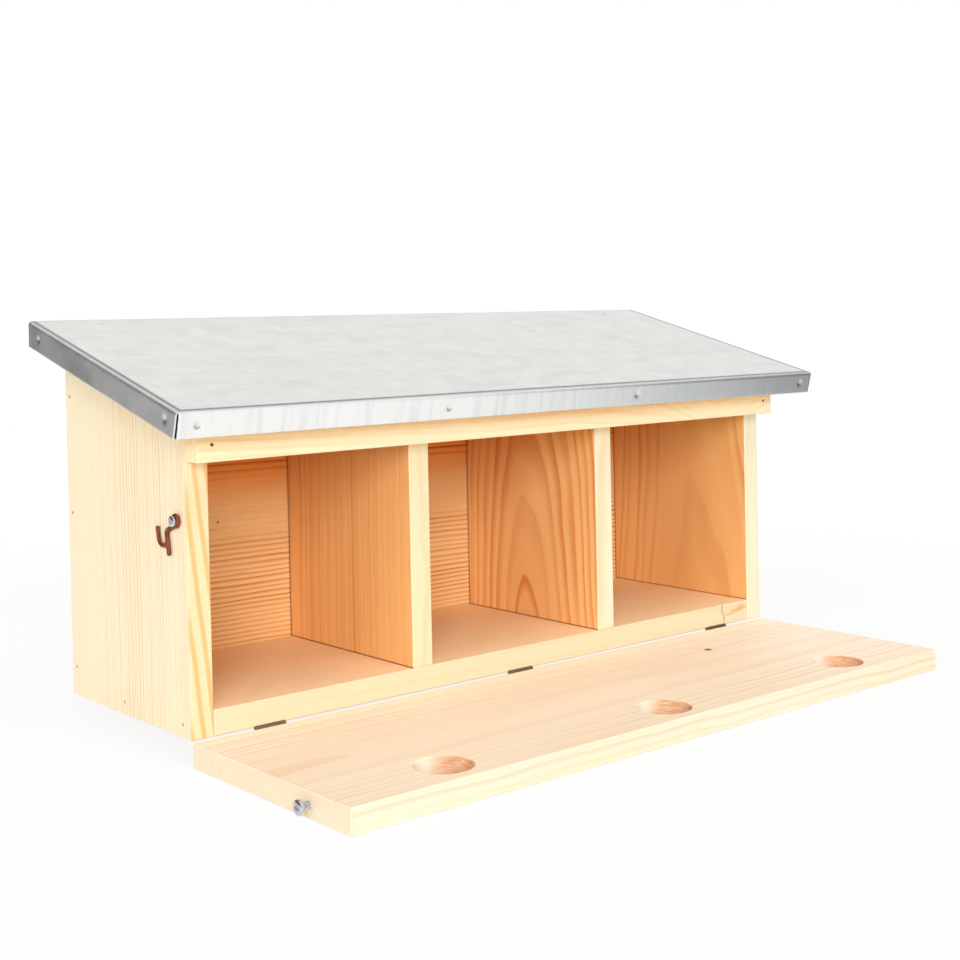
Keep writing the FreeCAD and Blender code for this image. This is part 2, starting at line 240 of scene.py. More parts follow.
def edge_bands(net, where, axes, drift, dark, slant):
    """On the front edge, straight bands for the rings: a sine with one turn to each spacing."""
    lean, turns = math.radians(slant[0]), math.tau / (slant[1] * MM)
    across_bands = (turns * math.cos(lean), 0.0, turns * math.sin(lean))
    stray = net.vector("MULTIPLY_ADD", drift, (2, 2, 2), where)
    wave = net.math("SINE", net.vector("DOT_PRODUCT", stray, across_bands))
    axis, begin, end = front_edge
    share = net.step(axes[axis], begin * MM, end * MM)
    bands = net.step(wave, -0.3, 1, 0, 0.9)
    return net.node("Mix", {0: share, 2: dark, 3: bands}, data_type="FLOAT")


print("front edges begin at y", front_edge[1], "mm")

# %% [markdown]
# ### Marks on a board
#
# Joints gather shade, painted as a thin dark line, a knot is a dark spot, and a bore's wall is brightened
# as painted light where it lies in shade, and brown where the cutter tore the fibres' ends. They could
# be painted on a picture, but each board would have to be unwrapped for it. Here each mark is a
# distance, from a plane, a point or an axis, and where it is small, the mark's colour is laid on.

# %% Joints, spots and bores
SHADOW = linear(118, 40, 2)
TORN = linear(210, 148, 104)
# Painted light: the bore's wall is brightened where it lies in shade.
PAINTED_LIGHT_BORE = linear(255, 241, 218)
SEAM_SHARE = 0.65


def near(net, coordinate, place, far, close):
    """1 where a coordinate is within close of a place, falling to 0 at far, in millimetres."""
    apart = net.math("ABSOLUTE", net.math("SUBTRACT", coordinate, place * MM))
    return net.step(apart, far * MM, close * MM)


def seamed(net, colour, axes, seams, indoors):
    """Shadow within about a millimetre of each joint, on the faces indoors."""
    for axis, place in seams:
        joint = net.times(near(net, axes[axis], place, 1.1, 0.1), indoors)
        colour = net.mix(net.times(joint, SEAM_SHARE), colour, SHADOW)
    return colour


def spotted(net, colour, where, marks):
    """Soft ellipsoids of colour: each mark has a place, its half sizes and a tint."""
    for place, size, tint in marks:
        apart = net.vector("SUBTRACT", where, metres(*place))
        apart = net.vector("LENGTH", net.vector("DIVIDE", apart, metres(*size)))
        colour = net.mix(net.step(apart, 1.3, 0.5), colour, tint)
    return colour


def bored(net, colour, where, axes, bores):
    """Painted light on the wall round each upright axis, with frayed, torn end grain on its +X side."""
    for x, y in bores:
        apart = net.vector("SUBTRACT", where, metres(x, y, 0))
        apart = net.vector("LENGTH", net.vector("MULTIPLY", apart, FLAT))
        wall = net.step(apart, (ENTRANCE_RADIUS + 0.7) * MM, (ENTRANCE_RADIUS + 0.2) * MM)
        # Painted light on the bore's wall, where it lies in shade.
        colour = net.mix(wall, colour, PAINTED_LIGHT_BORE)
        end_grain = net.step(axes[0], (x - 2) * MM, (x + 12) * MM)
        fray = net.step(net.noise(where, (170, 170, 1300), 3), 0.3, 0.7, 0.65, 1)
        torn = net.times(wall, net.times(end_grain, fray))
        colour = net.mix(torn, colour, TORN)
    return colour


print("bores are", 2 * ENTRANCE_RADIUS, "mm wide")

# %% [markdown]
# ### The whole finish of a board
#
# Planed pine is early wood crossed by darker rings, with fine fibres and pores along the grain. A
# finish written for each board would be the same text nine times. So one function puts the pieces
# above together, and a board only says where its log lay, its colours and its marks.


# %% Pine cut from a log
def toned(net, axes, pair, painted_shading, outside):
    """The early and the late colour at each place, and 1 where a face is indoors."""
    early, late = pair
    indoors = 1.0
    # The first pairs are painted shade and painted bounce light under the rail; only the outside pairs mark
    # a face as not indoors.
    for place in (*painted_shading, *outside):
        axis, begin, end, other = place
        share = net.step(axes[axis], begin * MM, end * MM)
        early, late = net.mix(share, early, other[0]), net.mix(share, late, other[1])
        if place in outside:
            indoors = net.times(net.math("SUBTRACT", 1, share), indoors)
    return early, late, indoors


def pine(name, pith, lie, ring, pair, growth=1.0, sway=2.0, uneven=0.4, contrast=1.0, sharp=0.3,
         steady=0.3, painted_shading=(), outside=(), calm=(), slant=None, bends=(), seams=(), marks=(), bores=()):
    """A board: pith is a point on the log's middle, and lie the log's turn in degrees from upright.

    pair is the early and the late colour. painted_shading and outside give other pairs past places
    (axis, start, end, pair): painted_shading is painted shade and painted bounce light under the rail,
    on the faces indoors, and outside is for the rest. calm gives bands (axis, middle, half width) where
    the rings fade. slant gives the front edge straight bands (degrees off upright, spacing).
    bends are places round which the rings curve (place, reach, push).
    """
    net = new_finish(name)
    where = net.place()
    axes = net.node("SeparateXYZ", {0: where}, None).outputs
    log, drift = log_place(net, where, pith, lie, sway)
    distance = from_pith(net, where, log, drift, bends)
    dark = ring_lines(net, log, distance, ring, growth, uneven, sharp, steady)
    dark = net.times(dark, contrast)
    for axis, middle, half in calm:
        quiet = near(net, axes[axis], middle, half, half * 0.4)
        dark = net.times(dark, net.step(quiet, 0, 1, 1, 0.15))
    if slant:
        dark = edge_bands(net, where, axes, drift, dark, slant)
    fibre = net.noise(log, (1900, 1900, 28), 3)
    pore = net.step(net.noise(log, (900, 900, 45), 1), 0.70, 0.78, 0, 0.4 * contrast)
    tone = net.step(net.noise(log, (16, 16, 2.4)), 0.4, 0.75, 0, 0.3 * contrast)
    late_share = net.math("MAXIMUM", net.math("MAXIMUM", dark, pore), tone)

    early, late, indoors = toned(net, axes, pair, painted_shading, outside)
    colour = net.mix(late_share, early, late)
    colour = net.mix(1, colour, net.step(fibre, 0.2, 0.8, 0.95, 1.02), "MULTIPLY")
    colour = seamed(net, colour, axes, seams, indoors)
    colour = spotted(net, colour, where, marks)
    colour = bored(net, colour, where, axes, bores)
    bump = net.bump(net.math("ADD", net.times(dark, 0.6), fibre), 0.12 * MM)
    rough = net.step(fibre, 0.2, 0.8, 0.52, 0.68)
    return net.solid(colour, rough, bump, {"Specular IOR Level": 0.35})


print("a board may leave out", len(pine.__defaults__), "of its settings")

# %% [markdown]
# ### Colours of the boards
#
# Light passes from board to board in the chambers, so their walls look warm, while the planed edges
# and the outside are cream. The lamps alone give only part of this, so the colours of early and late
# wood are set in pairs, one for each kind of face: the warm pairs indoors are partly painted bounce
# light. Further pairs paint the shade under the rail and the roof, and light on the door's right end.

# %% Early and late wood
ORANGE = (linear(253, 200, 134), linear(217, 125, 56))
RUDDY = (linear(246, 190, 123), linear(210, 118, 50))
AMBER = (linear(253, 213, 154), linear(214, 128, 66))
# Painted shading under the rail: the back's top darker and redder as painted shade, and the tops of the
# right side and right partition warmer as painted bounce light in the shade.
PAINTED_BACK_SHADE = (linear(254, 161, 62), linear(190, 86, 14))
PAINTED_BOUNCE_LIGHT = (linear(255, 203, 119), linear(228, 127, 49))
CREAM = (linear(246, 231, 198), linear(229, 184, 130))
FRESH = (linear(241, 226, 187), linear(232, 194, 138))
PALE = (linear(243, 234, 204), linear(238, 214, 170))
STREAKED = (linear(240, 222, 179), linear(238, 187, 119))
PEACH = (linear(251, 234, 207), linear(243, 209, 172))
PLANED = (linear(238, 228, 202), linear(233, 210, 170))
# Painted light: the door's top paler towards its right end, where the lamps fall off.
PAINTED_LIGHT_PEACH = (linear(255, 241, 219), linear(247, 218, 185))
SAWN_END = (linear(240, 221, 192), linear(238, 213, 180))
BUFF = (linear(255, 221, 177), linear(246, 185, 136))
HONEY = (linear(240, 220, 184), linear(231, 190, 136))
RAIL = (linear(253, 237, 197), linear(250, 212, 158))
# Painted shade: the rail's upper half darker and warmer, under the roof's overhang.
RAIL_PAINTED_SHADE = (linear(255, 225, 174), linear(252, 189, 128))
# Painted shade for the roof board's ends, seen through the sheet's corner slits.
UNLIT = (linear(34, 24, 18), linear(26, 18, 14))
SHAKE = linear(168, 108, 58)
KNOT = linear(84, 52, 34)
SPLIT = linear(240, 192, 144)
HEART = linear(230, 164, 114)
print("orange early wood", np.round(ORANGE[0], 2))

# %% [markdown]
# ### One log for each board
#
# No two boards come from the same place in a tree. The numbers could be drawn by chance, but these
# were chosen until each board had its figure. The left side is cut far from the pith and has
# fine straight lines. The right partition is cut close to it, with the pith leaning away towards the
# top, so its rings close into arches. The back comes from a tree that grew faster each year.


# %% Logs of the sides, partitions and back
def wear(node_name, finish):
    """Gives a piece of the model its finish."""
    mesh = nodes[node_name].data
    mesh.materials.clear()
    mesh.materials.append(finish)


def dress(logs):
    """Cuts each board from its log."""
    for board, log in logs.items():
        wear(board, pine("pine_" + board, **log))
    print("pine on", ", ".join(logs))


back_edge = (1, -1.2, -0.4)
# Under the rail, the tops of the chamber walls and of the back (z -30 to 12 mm) get painted shade and
# painted bounce light.
shaded = (2, -10, 35)
walls = [(0, side * wall) for side in (-1, 1) for wall in CHAMBER_WALLS]
feet = [(2, FLOOR_TOP), (1, BACK)]
back_knot = (-141.5, BACK, -31.7)
dress({
    "side_left": dict(
        pith=(-120, 100, 0), lie=(0.3, 1.0, 0), ring=2.9, pair=ORANGE, sway=1.2, uneven=0.2,
        contrast=0.7, sharp=0.45, calm=[(1, 0, 60)], slant=(6.5, 7.5), seams=feet,
        outside=[(0, 4 - HALF_WIDTH, 2 - HALF_WIDTH, CREAM), (*back_edge, CREAM), (*front_edge, STREAKED)]),
    "side_right": dict(
        pith=(300, -104, 0), lie=(0, 4, 0), ring=6.5, pair=RUDDY, sway=3.6, contrast=0.6,
        painted_shading=[(*shaded, PAINTED_BOUNCE_LIGHT)], seams=feet,
        outside=[(0, HALF_WIDTH - 4, HALF_WIDTH - 2, CREAM), (*back_edge, CREAM), (*front_edge, PALE)]),
    "partition_left": dict(
        pith=(-60, 20, 0), lie=(0.5, 0.4, 0), ring=7.0, pair=RUDDY, growth=1.6, sway=1.8, uneven=0.9,
        contrast=0.55, sharp=0.4, seams=feet, outside=[(*front_edge, FRESH)]),
    "partition_right": dict(
        pith=(108.5, -79, 0), lie=(0, 8, 0), ring=7.8, pair=ORANGE, sway=2.8, contrast=0.9, sharp=0.2,
        steady=0.45, painted_shading=[(*shaded, PAINTED_BOUNCE_LIGHT)], seams=feet, outside=[(*front_edge, PALE)]),
    "back_panel": dict(
        pith=(0, 22, UNDERSIDE - 28), lie=(0, 90.3, 0), ring=2.2, pair=AMBER, growth=0.5, sway=1.3,
        uneven=0.12, contrast=1.1, steady=0.75, painted_shading=[(2, -30, 12, PAINTED_BACK_SHADE)],
        outside=[(1, BACK + 4, BACK + 8, CREAM)], calm=[(2, -22, 32)], bends=[(back_knot, 4, 2)],
        seams=walls, marks=[(back_knot, (0.8, 0.8, 0.8), KNOT)]),
})

# %% Logs of the floor, rail, front and roof
rail_front = FRONT - 14
door_knot = (132, -194.5, DOOR_TOP)
dress({
    "floor_board": dict(
        pith=(0, -60, UNDERSIDE - 40), lie=(0, 91, 0), ring=4.2, pair=BUFF, contrast=0.3, seams=walls,
        outside=[(*front_edge, HONEY), (2, UNDERSIDE + 8, UNDERSIDE + 4, HONEY)],
        marks=[((206, FRONT, -122.8), (6, 4, 1.0), SPLIT), ((213, FRONT, -121.2), (7, 4, 1.7), SPLIT),
               ((219, FRONT, -119.4), (6, 4, 2.4), SPLIT), ((217, FRONT, -120.2), (5, 4, 0.6), HEART),
               ((197.5, FRONT, -118.5), (0.5, 4, 4.5), SHAKE),
               ((199.5, FRONT, -125), (0.5, 4, 4.5), SHAKE)]),
    "front_rail": dict(
        pith=(0, -140, UNDERSIDE + 186), lie=(0, 92, 0), ring=4.5, pair=RAIL, contrast=0.7,
        # The rail's upper half is painted darker and warmer: painted shade under the roof's overhang.
        outside=[(2, 30, 37, RAIL_PAINTED_SHADE)], bends=[((181, rail_front, 47), 66, -15)],
        marks=[((180, rail_front, 40.6), (15, 4, 1.8), HEART)]),
    "front_door": dict(
        pith=(0, -232, UNDERSIDE - 52), lie=(0, 90.5, 0), ring=5.0, pair=PEACH, sway=1.8, bores=ENTRANCES,
        # From x = 60 to 230 mm the door's top grows paler: painted light where the lamps fall off.
        outside=[(0, 60, 230, PAINTED_LIGHT_PEACH), (1, DOOR_FRONT + 1.2, DOOR_FRONT + 0.4, PLANED),
                 (0, 2 - HALF_WIDTH, 1 - HALF_WIDTH, SAWN_END),
                 (0, HALF_WIDTH - 2, HALF_WIDTH - 1, SAWN_END)],
        bends=[(door_knot, 10, 5)], marks=[(door_knot, (2.9, 2.7, 2.7), KNOT)]),
    "roof_board": dict(
        pith=(0, -90, UNDERSIDE + 150), lie=(0, 90.8, 0), ring=5.0, pair=CREAM,
        # The board's ends are painted near black: painted shade, seen through the sheet's corner slits.
        outside=[(0, 258, 260, UNLIT), (0, -258, -260, UNLIT)]),
})

# %% [markdown]
# ## From arrays to meshes
#
# The roof sheet, nails, screws and hooks start as grids of points. They could be pulled into shape by
# hand, but a formula can be read, changed and run again. One helper numbers a grid's squares, one
# makes a mesh and welds points that lie on each other, such as a seam or a pole, and one makes it an
# object that rides on its body.


# %% Grids and pieces
def grid_faces(rows, columns, closed):
    """Squares between the points of a grid, row by row; closed joins the last column to the first."""
    here = np.arange(rows * columns).reshape(rows, columns)
    beside = np.roll(here, -1, axis=1)
    squares = np.stack([here[:-1], beside[:-1], beside[1:], here[1:]], axis=-1)
    return (squares if closed else squares[:, :-1]).reshape(-1, 4)


def make_mesh(name, grids, closed=True):
    """One mesh from several grids, each an array of rows x columns x 3 in millimetres."""
    points, faces, count = [], [], 0
    for grid in grids:
        points.append(grid.reshape(-1, 3) * MM)
        faces.append(grid_faces(*grid.shape[:2], closed) + count)
        count += len(points[-1])
    mesh = bpy.data.meshes.new(name)
    mesh.from_pydata(np.concatenate(points).tolist(), [], np.concatenate(faces).tolist())
    work = bmesh.new()
    work.from_mesh(mesh)
    bmesh.ops.remove_doubles(work, verts=work.verts, dist=1e-6)
    if closed:
        bmesh.ops.recalc_face_normals(work, faces=work.faces)
    work.to_mesh(mesh)
    work.free()
    mesh.polygons.foreach_set("use_smooth", np.ones(len(mesh.polygons), bool))
    return mesh


def add_object(name, data):
    made = bpy.data.objects.new(name, data)
    bpy.context.scene.collection.objects.link(made)
    return made


def make_piece(name, mesh, body, finish, replaced):
    """An object at the origin that rides on a body and stands for a node of the model."""
    piece = add_object(name, mesh)
    mesh.materials.append(finish)
    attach(piece, body)
    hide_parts(*replaced)
    print(name, len(mesh.polygons), "faces")
    return piece


# %% [markdown]
# ## The roof sheet
#
# The roof board wears a thin zinc-coated sheet, folded down at the front and both ends and nailed
# through its folds. It could be drawn level and then tilted, but a finished object has to stay
# unturned. So one function takes places on the slope to places in the model, as if the roof lay flat.

# %% Where things are on the slope
LEVEL = math.cos(ROOF_PITCH)
FALL = math.sin(ROOF_PITCH)
ROOF_HALF = 262.0
ROOF_RUN = 186.525
SHEET_TOP = 14.8
SHEET_THICKNESS = 0.7
FOLD = 1.6
FLANGE = 14.5
CORNER_GAP = 0.5
NAIL_ROW = SHEET_TOP - FLANGE / 2
FRONT_NAILS = (-250.0, -80.0, 80.0, 250.0)
END_NAIL_RUNS = (12.0, ROOF_RUN - 12.0)
BACK_NAILS = (-220.0, 220.0)
BACK_NAIL_RUN = 7.0
CLOUT_HEAD = 1.5


def on_roof(x, run, height):
    """From places along X, down the slope and above the roof board's underside to the model's frame."""
    y = -run * LEVEL - height * FALL
    z = UNDERSIDE + SIDE_BACK_HEIGHT - run * FALL + height * LEVEL
    return np.stack(np.broadcast_arrays(x, y, z), axis=-1)


# Each nail has a place on the slope and the way that it faces.
sheet_nails = [((x, ROOF_RUN, NAIL_ROW), (0, 1, 0)) for x in FRONT_NAILS]
for side in (-1, 1):
    sheet_nails += [((side * ROOF_HALF, run, NAIL_ROW), (side, 0, 0)) for run in END_NAIL_RUNS]
sheet_nails += [((x, BACK_NAIL_RUN, SHEET_TOP), (0, 0, 1)) for x in BACK_NAILS]
roof_nails = np.array([place for place, facing in sheet_nails])
print("sheet nails", len(roof_nails))

# %% [markdown]
# ### Thin sheet is never flat
#
# It swells a little between its folds, its free edges wave, and each nail pulls a dimple. A flat sheet
# with a bump in its finish would give itself away along the edges, so the points really move, and this
# function says how far.

# %% How the sheet swells
TOP_WAVE = 0.16
EDGE_WAVE = 0.1
DIMPLE = 0.8
DIMPLE_REACH = 2.0


def from_nails(x, run, height):
    """Distance of each point from every sheet nail."""
    place = np.stack(np.broadcast_arrays(x, run, height), axis=-1)
    return np.linalg.norm(place[..., None, :] - roof_nails, axis=-1)


def swell(x, run, height):
    """How far the sheet stands off its fold lines: low sine waves on the top that die out at the folds,
    a shallow sine wave along each flange's free edge, and a bell-shaped dimple at each nail."""
    edge = np.minimum(ROOF_HALF - np.abs(x), np.minimum(ROOF_RUN - run, run + 20))
    inside = np.clip((edge - FOLD) / 30, 0, 1)
    waves = np.sin(x / 47 + 0.6) * np.sin(run / 31 + 0.4) + 0.6 * np.sin(x / 23 + run / 40) + 1.6
    top = TOP_WAVE * waves * inside ** 2 * (3 - 2 * inside)
    hang = np.clip((SHEET_TOP - FOLD - height) / (FLANGE - FOLD), 0, 1)
    edge_wave = EDGE_WAVE * (np.sin(x / 29 + run / 17) + 1) * hang ** 2
    dimple = DIMPLE * np.exp(-(from_nails(x, run, height) / DIMPLE_REACH) ** 2).sum(axis=-1)
    return top + edge_wave - dimple


print("the middle stands", round(swell(0.0, ROOF_RUN / 2, SHEET_TOP), 2), "mm off the folds")

# %% [markdown]
# ### Folding the sheet
#
# A tinsmith folds the front and the ends over a bar, which leaves a small round edge, and snips the
# corners, which leaves a slit. A Bevel modifier could round a sharp box, but it would close the slits.
# Here the top and three flanges are four grids that share points along the folds. The back is cut
# plumb, to end on the wall.


# %% Outline of a fold
def finer_near(start, end, coarse, places):
    """Steps of about coarse from start to end, with half-millimetre steps within 5 mm of each place."""
    steps = [np.linspace(start, end, int((end - start) / coarse) + 2)]
    steps += [np.linspace(place - 5, place + 5, 21) for place in places]
    every = np.unique(np.round(np.concatenate(steps), 3))
    return every[(every >= start) & (every <= end)]


# Down one flange: a quarter circle for the fold, then straight down. lean is the angle by which the
# normal has turned from up to outward.
bend = np.linspace(0, math.pi / 2, 8)
straight = np.linspace(FOLD, FLANGE, 22)[1:]
lean = np.append(bend, np.full(len(straight), math.pi / 2))
outward = FOLD * np.sin(lean)
drop = np.append(FOLD * (1 - np.cos(bend)), straight)
inner_x = ROOF_HALF - FOLD
inner_run = ROOF_RUN - FOLD
across = finer_near(-inner_x, inner_x, 5.0, (-inner_x, *FRONT_NAILS, *BACK_NAILS, inner_x))
down = finer_near(0.0, inner_run, 5.0, (BACK_NAIL_RUN, *END_NAIL_RUNS, inner_run))
print("the top has", len(down), "rows of", len(across), "points")


# %% The sheet as a folded grid
def sheet_grid(x, run, height, lean_x, lean_run):
    """Points pushed out along the normal by the swell; the two leans turn the normal off straight up.
    Towards the wall, over the last 5 mm, runs are moved back by height times the slope."""
    run = run - height * math.tan(ROOF_PITCH) * np.clip(1 - run / 5, 0, 1)
    push = swell(x, run, height)
    flat = np.cos(lean_x) * np.cos(lean_run)
    return on_roof(x + push * np.sin(lean_x), run + push * np.sin(lean_run), height + push * flat)


across_front = np.concatenate([[CORNER_GAP - ROOF_HALF], across, [ROOF_HALF - CORNER_GAP]])[None, :]
down_side = np.append(down, ROOF_RUN - CORNER_GAP)[:, None]
top = sheet_grid(across[None, :], down[:, None], SHEET_TOP + 0 * across, 0.0, 0.0)
left = sheet_grid(-inner_x - outward[::-1], down_side, SHEET_TOP - drop[::-1], -lean[::-1], 0.0)
right = sheet_grid(inner_x + outward, down_side, SHEET_TOP - drop, lean, 0.0)
front_rows = inner_run + outward[:, None]
front = sheet_grid(across_front, front_rows, SHEET_TOP - drop[:, None], 0.0, lean[:, None])
sheet_mesh = make_mesh("roof_sheet_folded", (top, left, right, front), closed=False)
print("sheet of", len(sheet_mesh.vertices), "points")

# %% [markdown]
# ### Marks along the folds
#
# A dark line of painted shade runs along each fold, and a painted shadow lies under the lower edge of
# each nail's head. The finish could look for sharp edges while rendering, but only roughly. The grid
# knows where its folds are, so two values are written to each point, and the finish reads them as
# attributes.


# %% Values for the finish
def fold_marks(mesh):
    """Writes to each point the painted shade along the folds and under each nail's head, as a bell curve of
    the distance, and whether it is on the front flange. past is the way over the fold from the flat top."""
    places = np.empty(3 * len(mesh.vertices))
    mesh.vertices.foreach_get("co", places)
    x, y, z = places.reshape(-1, 3).T / MM
    z = z - UNDERSIDE - SIDE_BACK_HEIGHT
    run = -y * LEVEL - z * FALL
    sunk = SHEET_TOP + y * FALL - z * LEVEL
    past = np.maximum(np.abs(x) - inner_x, run - inner_run) + np.maximum(sunk, 0)
    crease = np.exp(-((past + 0.7) / 1.3) ** 2)
    on_front = np.clip(run - inner_run, 0, 1) * np.clip(sunk, 0, 1)
    apart = from_nails(x, run, SHEET_TOP - sunk)
    below = roof_nails[apart.argmin(axis=1), 2] - (SHEET_TOP - sunk)
    # Painted shadow under each nail's head: a ring that is darker on its lower side.
    ring = np.exp(-((apart.min(axis=1) - CLOUT_HEAD - 0.3) / 0.5) ** 2)
    rim = ring * np.clip(0.3 + below / 2, 0, 1)
    for name, values in (("crease", np.maximum(crease, 0.8 * rim)), ("on_front", on_front)):
        mesh.attributes.new(name, "FLOAT", "POINT").data.foreach_set("value", values.astype(np.float32))
    return crease


print("creased points", int((fold_marks(sheet_mesh) > 0.5).sum()))

# %% [markdown]
# ### Zinc that has bloomed
#
# A dipped sheet cools with a faint crystal pattern, the spangle, and soon dulls to a soft mottled
# grey. A single grey would look like paper. Most of the look is in how sharply the sheet mirrors, so
# the roughness varies in clouds, and the colour only a little. The front fold has fine runs where the
# coat drained, and its colour is a painted reflection, near white at the left end and greyer to the right.

# %% Finish of the zinc sheet
# Painted reflection: where the front flange runs from near white to grey.
PAINTED_BRIGHT_END, PAINTED_DIM_END = -120.0 * MM, 260.0 * MM


def zinc_colour(net, where, cloud, spangle, run):
    """Pale greys mixed by the noises, the front flange's runs and painted reflection, then painted shade.
    """
    pale = net.mix(net.step(cloud, 0.3, 0.7), linear(224, 224, 221), linear(234, 233, 230))
    smear = net.noise(where, (28, 60, 60), 4)
    pale = net.mix(net.step(smear, 0.5, 0.75, 0, 0.3), pale, linear(202, 204, 203))
    pale = net.mix(net.step(spangle, 0.2, 0.8, 0, 0.06), pale, linear(190, 194, 198))
    pale = net.mix(net.step(run, 0.5, 0.75, 0, 0.1), pale, linear(186, 192, 200))
    # Painted reflection on the front flange: near white at the left end, greyer to the right.
    along = net.step(net.node("SeparateXYZ", {0: where}, "X"), PAINTED_BRIGHT_END, PAINTED_DIM_END)
    facing = net.mix(along, linear(253, 255, 255), linear(206, 211, 211))
    streak = net.noise(where, (230, 10, 14), 3)
    facing = net.mix(net.step(streak, 0.45, 0.7, 0, 0.2), facing, linear(172, 192, 200))
    on_front = net.node("Attribute", {}, "Fac", attribute_name="on_front")
    pale = net.mix(net.times(on_front, 0.95), pale, facing)
    # Painted shade along the folds and under the nail heads, mixed towards dark grey.
    crease = net.node("Attribute", {}, "Fac", attribute_name="crease")
    return net.mix(net.times(crease, 0.85), pale, linear(70, 72, 72))


def zinc_sheet():
    """Slow noise clouds the colour and roughness, small cells give the spangle and thin noise the runs."""
    net = new_finish("zinc_sheet")
    where = net.place()
    cloud = net.noise(where, (55, 75, 55), 6)
    cell = net.node("TexVoronoi", {"Vector": where, "Scale": 190}, "Color")
    spangle = net.vector("DOT_PRODUCT", cell, (0.33, 0.33, 0.33))
    run = net.noise(where, (420, 12, 16))
    colour = zinc_colour(net, where, cloud, spangle, run)
    rough = net.math("ADD", net.step(cloud, 0.3, 0.7, 0.36, 0.42), net.step(run, 0.3, 0.7, 0, 0.04))
    relief = net.math("ADD", cloud, net.times(spangle, 0.2))
    bump = net.bump(relief, 0.1 * MM, 0.3)
    return net.solid(colour, rough, bump, {"Metallic": 0.9})


roof = make_piece("roof_sheet_folded", sheet_mesh, "box", zinc_sheet(), ["roof_sheet"])
thickness = roof.modifiers.new("thickness", "SOLIDIFY")
thickness.thickness = SHEET_THICKNESS * MM
thickness.offset = -1.0

# %% [markdown]
# ## Turned pieces
#
# Nails and screws are round about an axis. A Screw modifier could carry an outline round, but not with
# a thread or a cross in it. So the turning is done on arrays: rows are radius and height, columns are
# angles, and the radius may change with the angle. First come the clout nails of the sheet.


# %% Turning a profile
def turned(radius, height, columns):
    """Carries a half outline round the Z axis: x = radius cos(angle), y = radius sin(angle), z = height."""
    angle = np.linspace(0, math.tau, columns, endpoint=False)
    radius, height = (np.reshape(row, (len(row), -1)) * np.ones(columns) for row in (radius, height))
    return np.stack([radius * np.cos(angle), radius * np.sin(angle), height], axis=-1)


def aimed(grid, place, facing):
    """Moves a piece made along Z to its place and turns it, so that its top looks along facing."""
    beside = np.cross((0, 0, 1) if abs(facing[2]) < 0.9 else (1, 0, 0), facing)
    beside = beside / np.linalg.norm(beside)
    return place + grid @ np.stack([beside, np.cross(facing, beside), facing])


CLOUT_HIGH = 0.55
CLOUT_SINK = 0.6
CLOUT_SHANK = 0.7
dome = np.linspace(0, math.pi / 2, 8)
clout_radius = np.append(CLOUT_HEAD * np.sin(dome), [CLOUT_HEAD * 0.96, CLOUT_SHANK, CLOUT_SHANK, 0.0])
clout_height = np.append(CLOUT_HIGH * np.cos(dome) - CLOUT_SINK, [-0.8, -0.8, -11.0, -12.0])
clout = turned(clout_radius, clout_height, 24)
clouts = []
for place, facing in sheet_nails:
    seat, ahead = on_roof(*place), on_roof(*np.add(place, facing))
    clouts.append(aimed(clout, seat, ahead - seat))
clout_mesh = make_mesh("roof_clouts", clouts)
print(len(clouts), "clouts, heads", 2 * CLOUT_HEAD, "mm across")

# %% [markdown]
# ### Bright zinc
#
# The nails and screws are plated and still bright. A perfect mirror would look like glass, and painted
# scratches would be too large for such small heads. A little uneven roughness is enough to break the
# reflections.

# %% Finish of nails and screws
TARNISH = linear(120, 118, 112)


def plated(name, colour, low, high):
    """A metal with faint tarnish, whose roughness wanders from low to high with fine noise."""
    net = new_finish(name)
    scuff = net.noise(net.place(), (900, 900, 900), 3)
    dull = net.mix(net.step(scuff, 0.45, 0.75, 0, 0.3), colour, TARNISH)
    rough = net.step(scuff, 0.3, 0.7, low, high)
    bump = net.bump(scuff, 0.03 * MM)
    return net.solid(dull, rough, bump, {"Metallic": 1})


bright_zinc = plated("bright_zinc", linear(214, 216, 218), 0.16, 0.34)
make_piece("roof_clouts", clout_mesh, "box", bright_zinc, ["roof_sheet_nails"])

# %% [markdown]
# ### Cross-head screws
#
# A hook turns on a screw in each side, and drops over another in each end of the front. The cross
# could be cut with a Boolean modifier, but on a polar grid it is simpler to press it in: the height is
# lowered within two arms. The thread is a groove that climbs one pitch in each turn. A mirrored thread
# would turn the wrong way, so the right pair is aimed anew.


# %% Head and shank of a screw
def pan_head(head, high, turn):
    """Rows of (radius, height) from the top to the foot of the head, for angles given in turns.

    Dome: height = high sqrt(1 - 0.6 (radius / head)^2). Cross: lowered by the deeper of two smooth bars.
    """
    reach = np.linspace(0, head, 34)[:, None]
    x, y = reach * np.cos(math.tau * turn), reach * np.sin(math.tau * turn)
    width, arm = 0.17 * head, 0.6 * head

    def bar(along, beside):
        length = np.clip((arm - np.abs(along)) / 0.3, 0, 1)
        return length * np.clip((width - np.abs(beside)) / 0.25 + 0.5, 0, 1)

    top = high * np.sqrt(1 - 0.6 * (reach / head) ** 2) - 0.6 * high * np.maximum(bar(x, y), bar(y, x))
    every_turn = np.ones(len(turn))
    radius = np.concatenate([reach, [[0.985 * head], [0.985 * head]]]) * every_turn
    return radius, np.concatenate([top, [[0.12 * high], [0.0]] * every_turn])


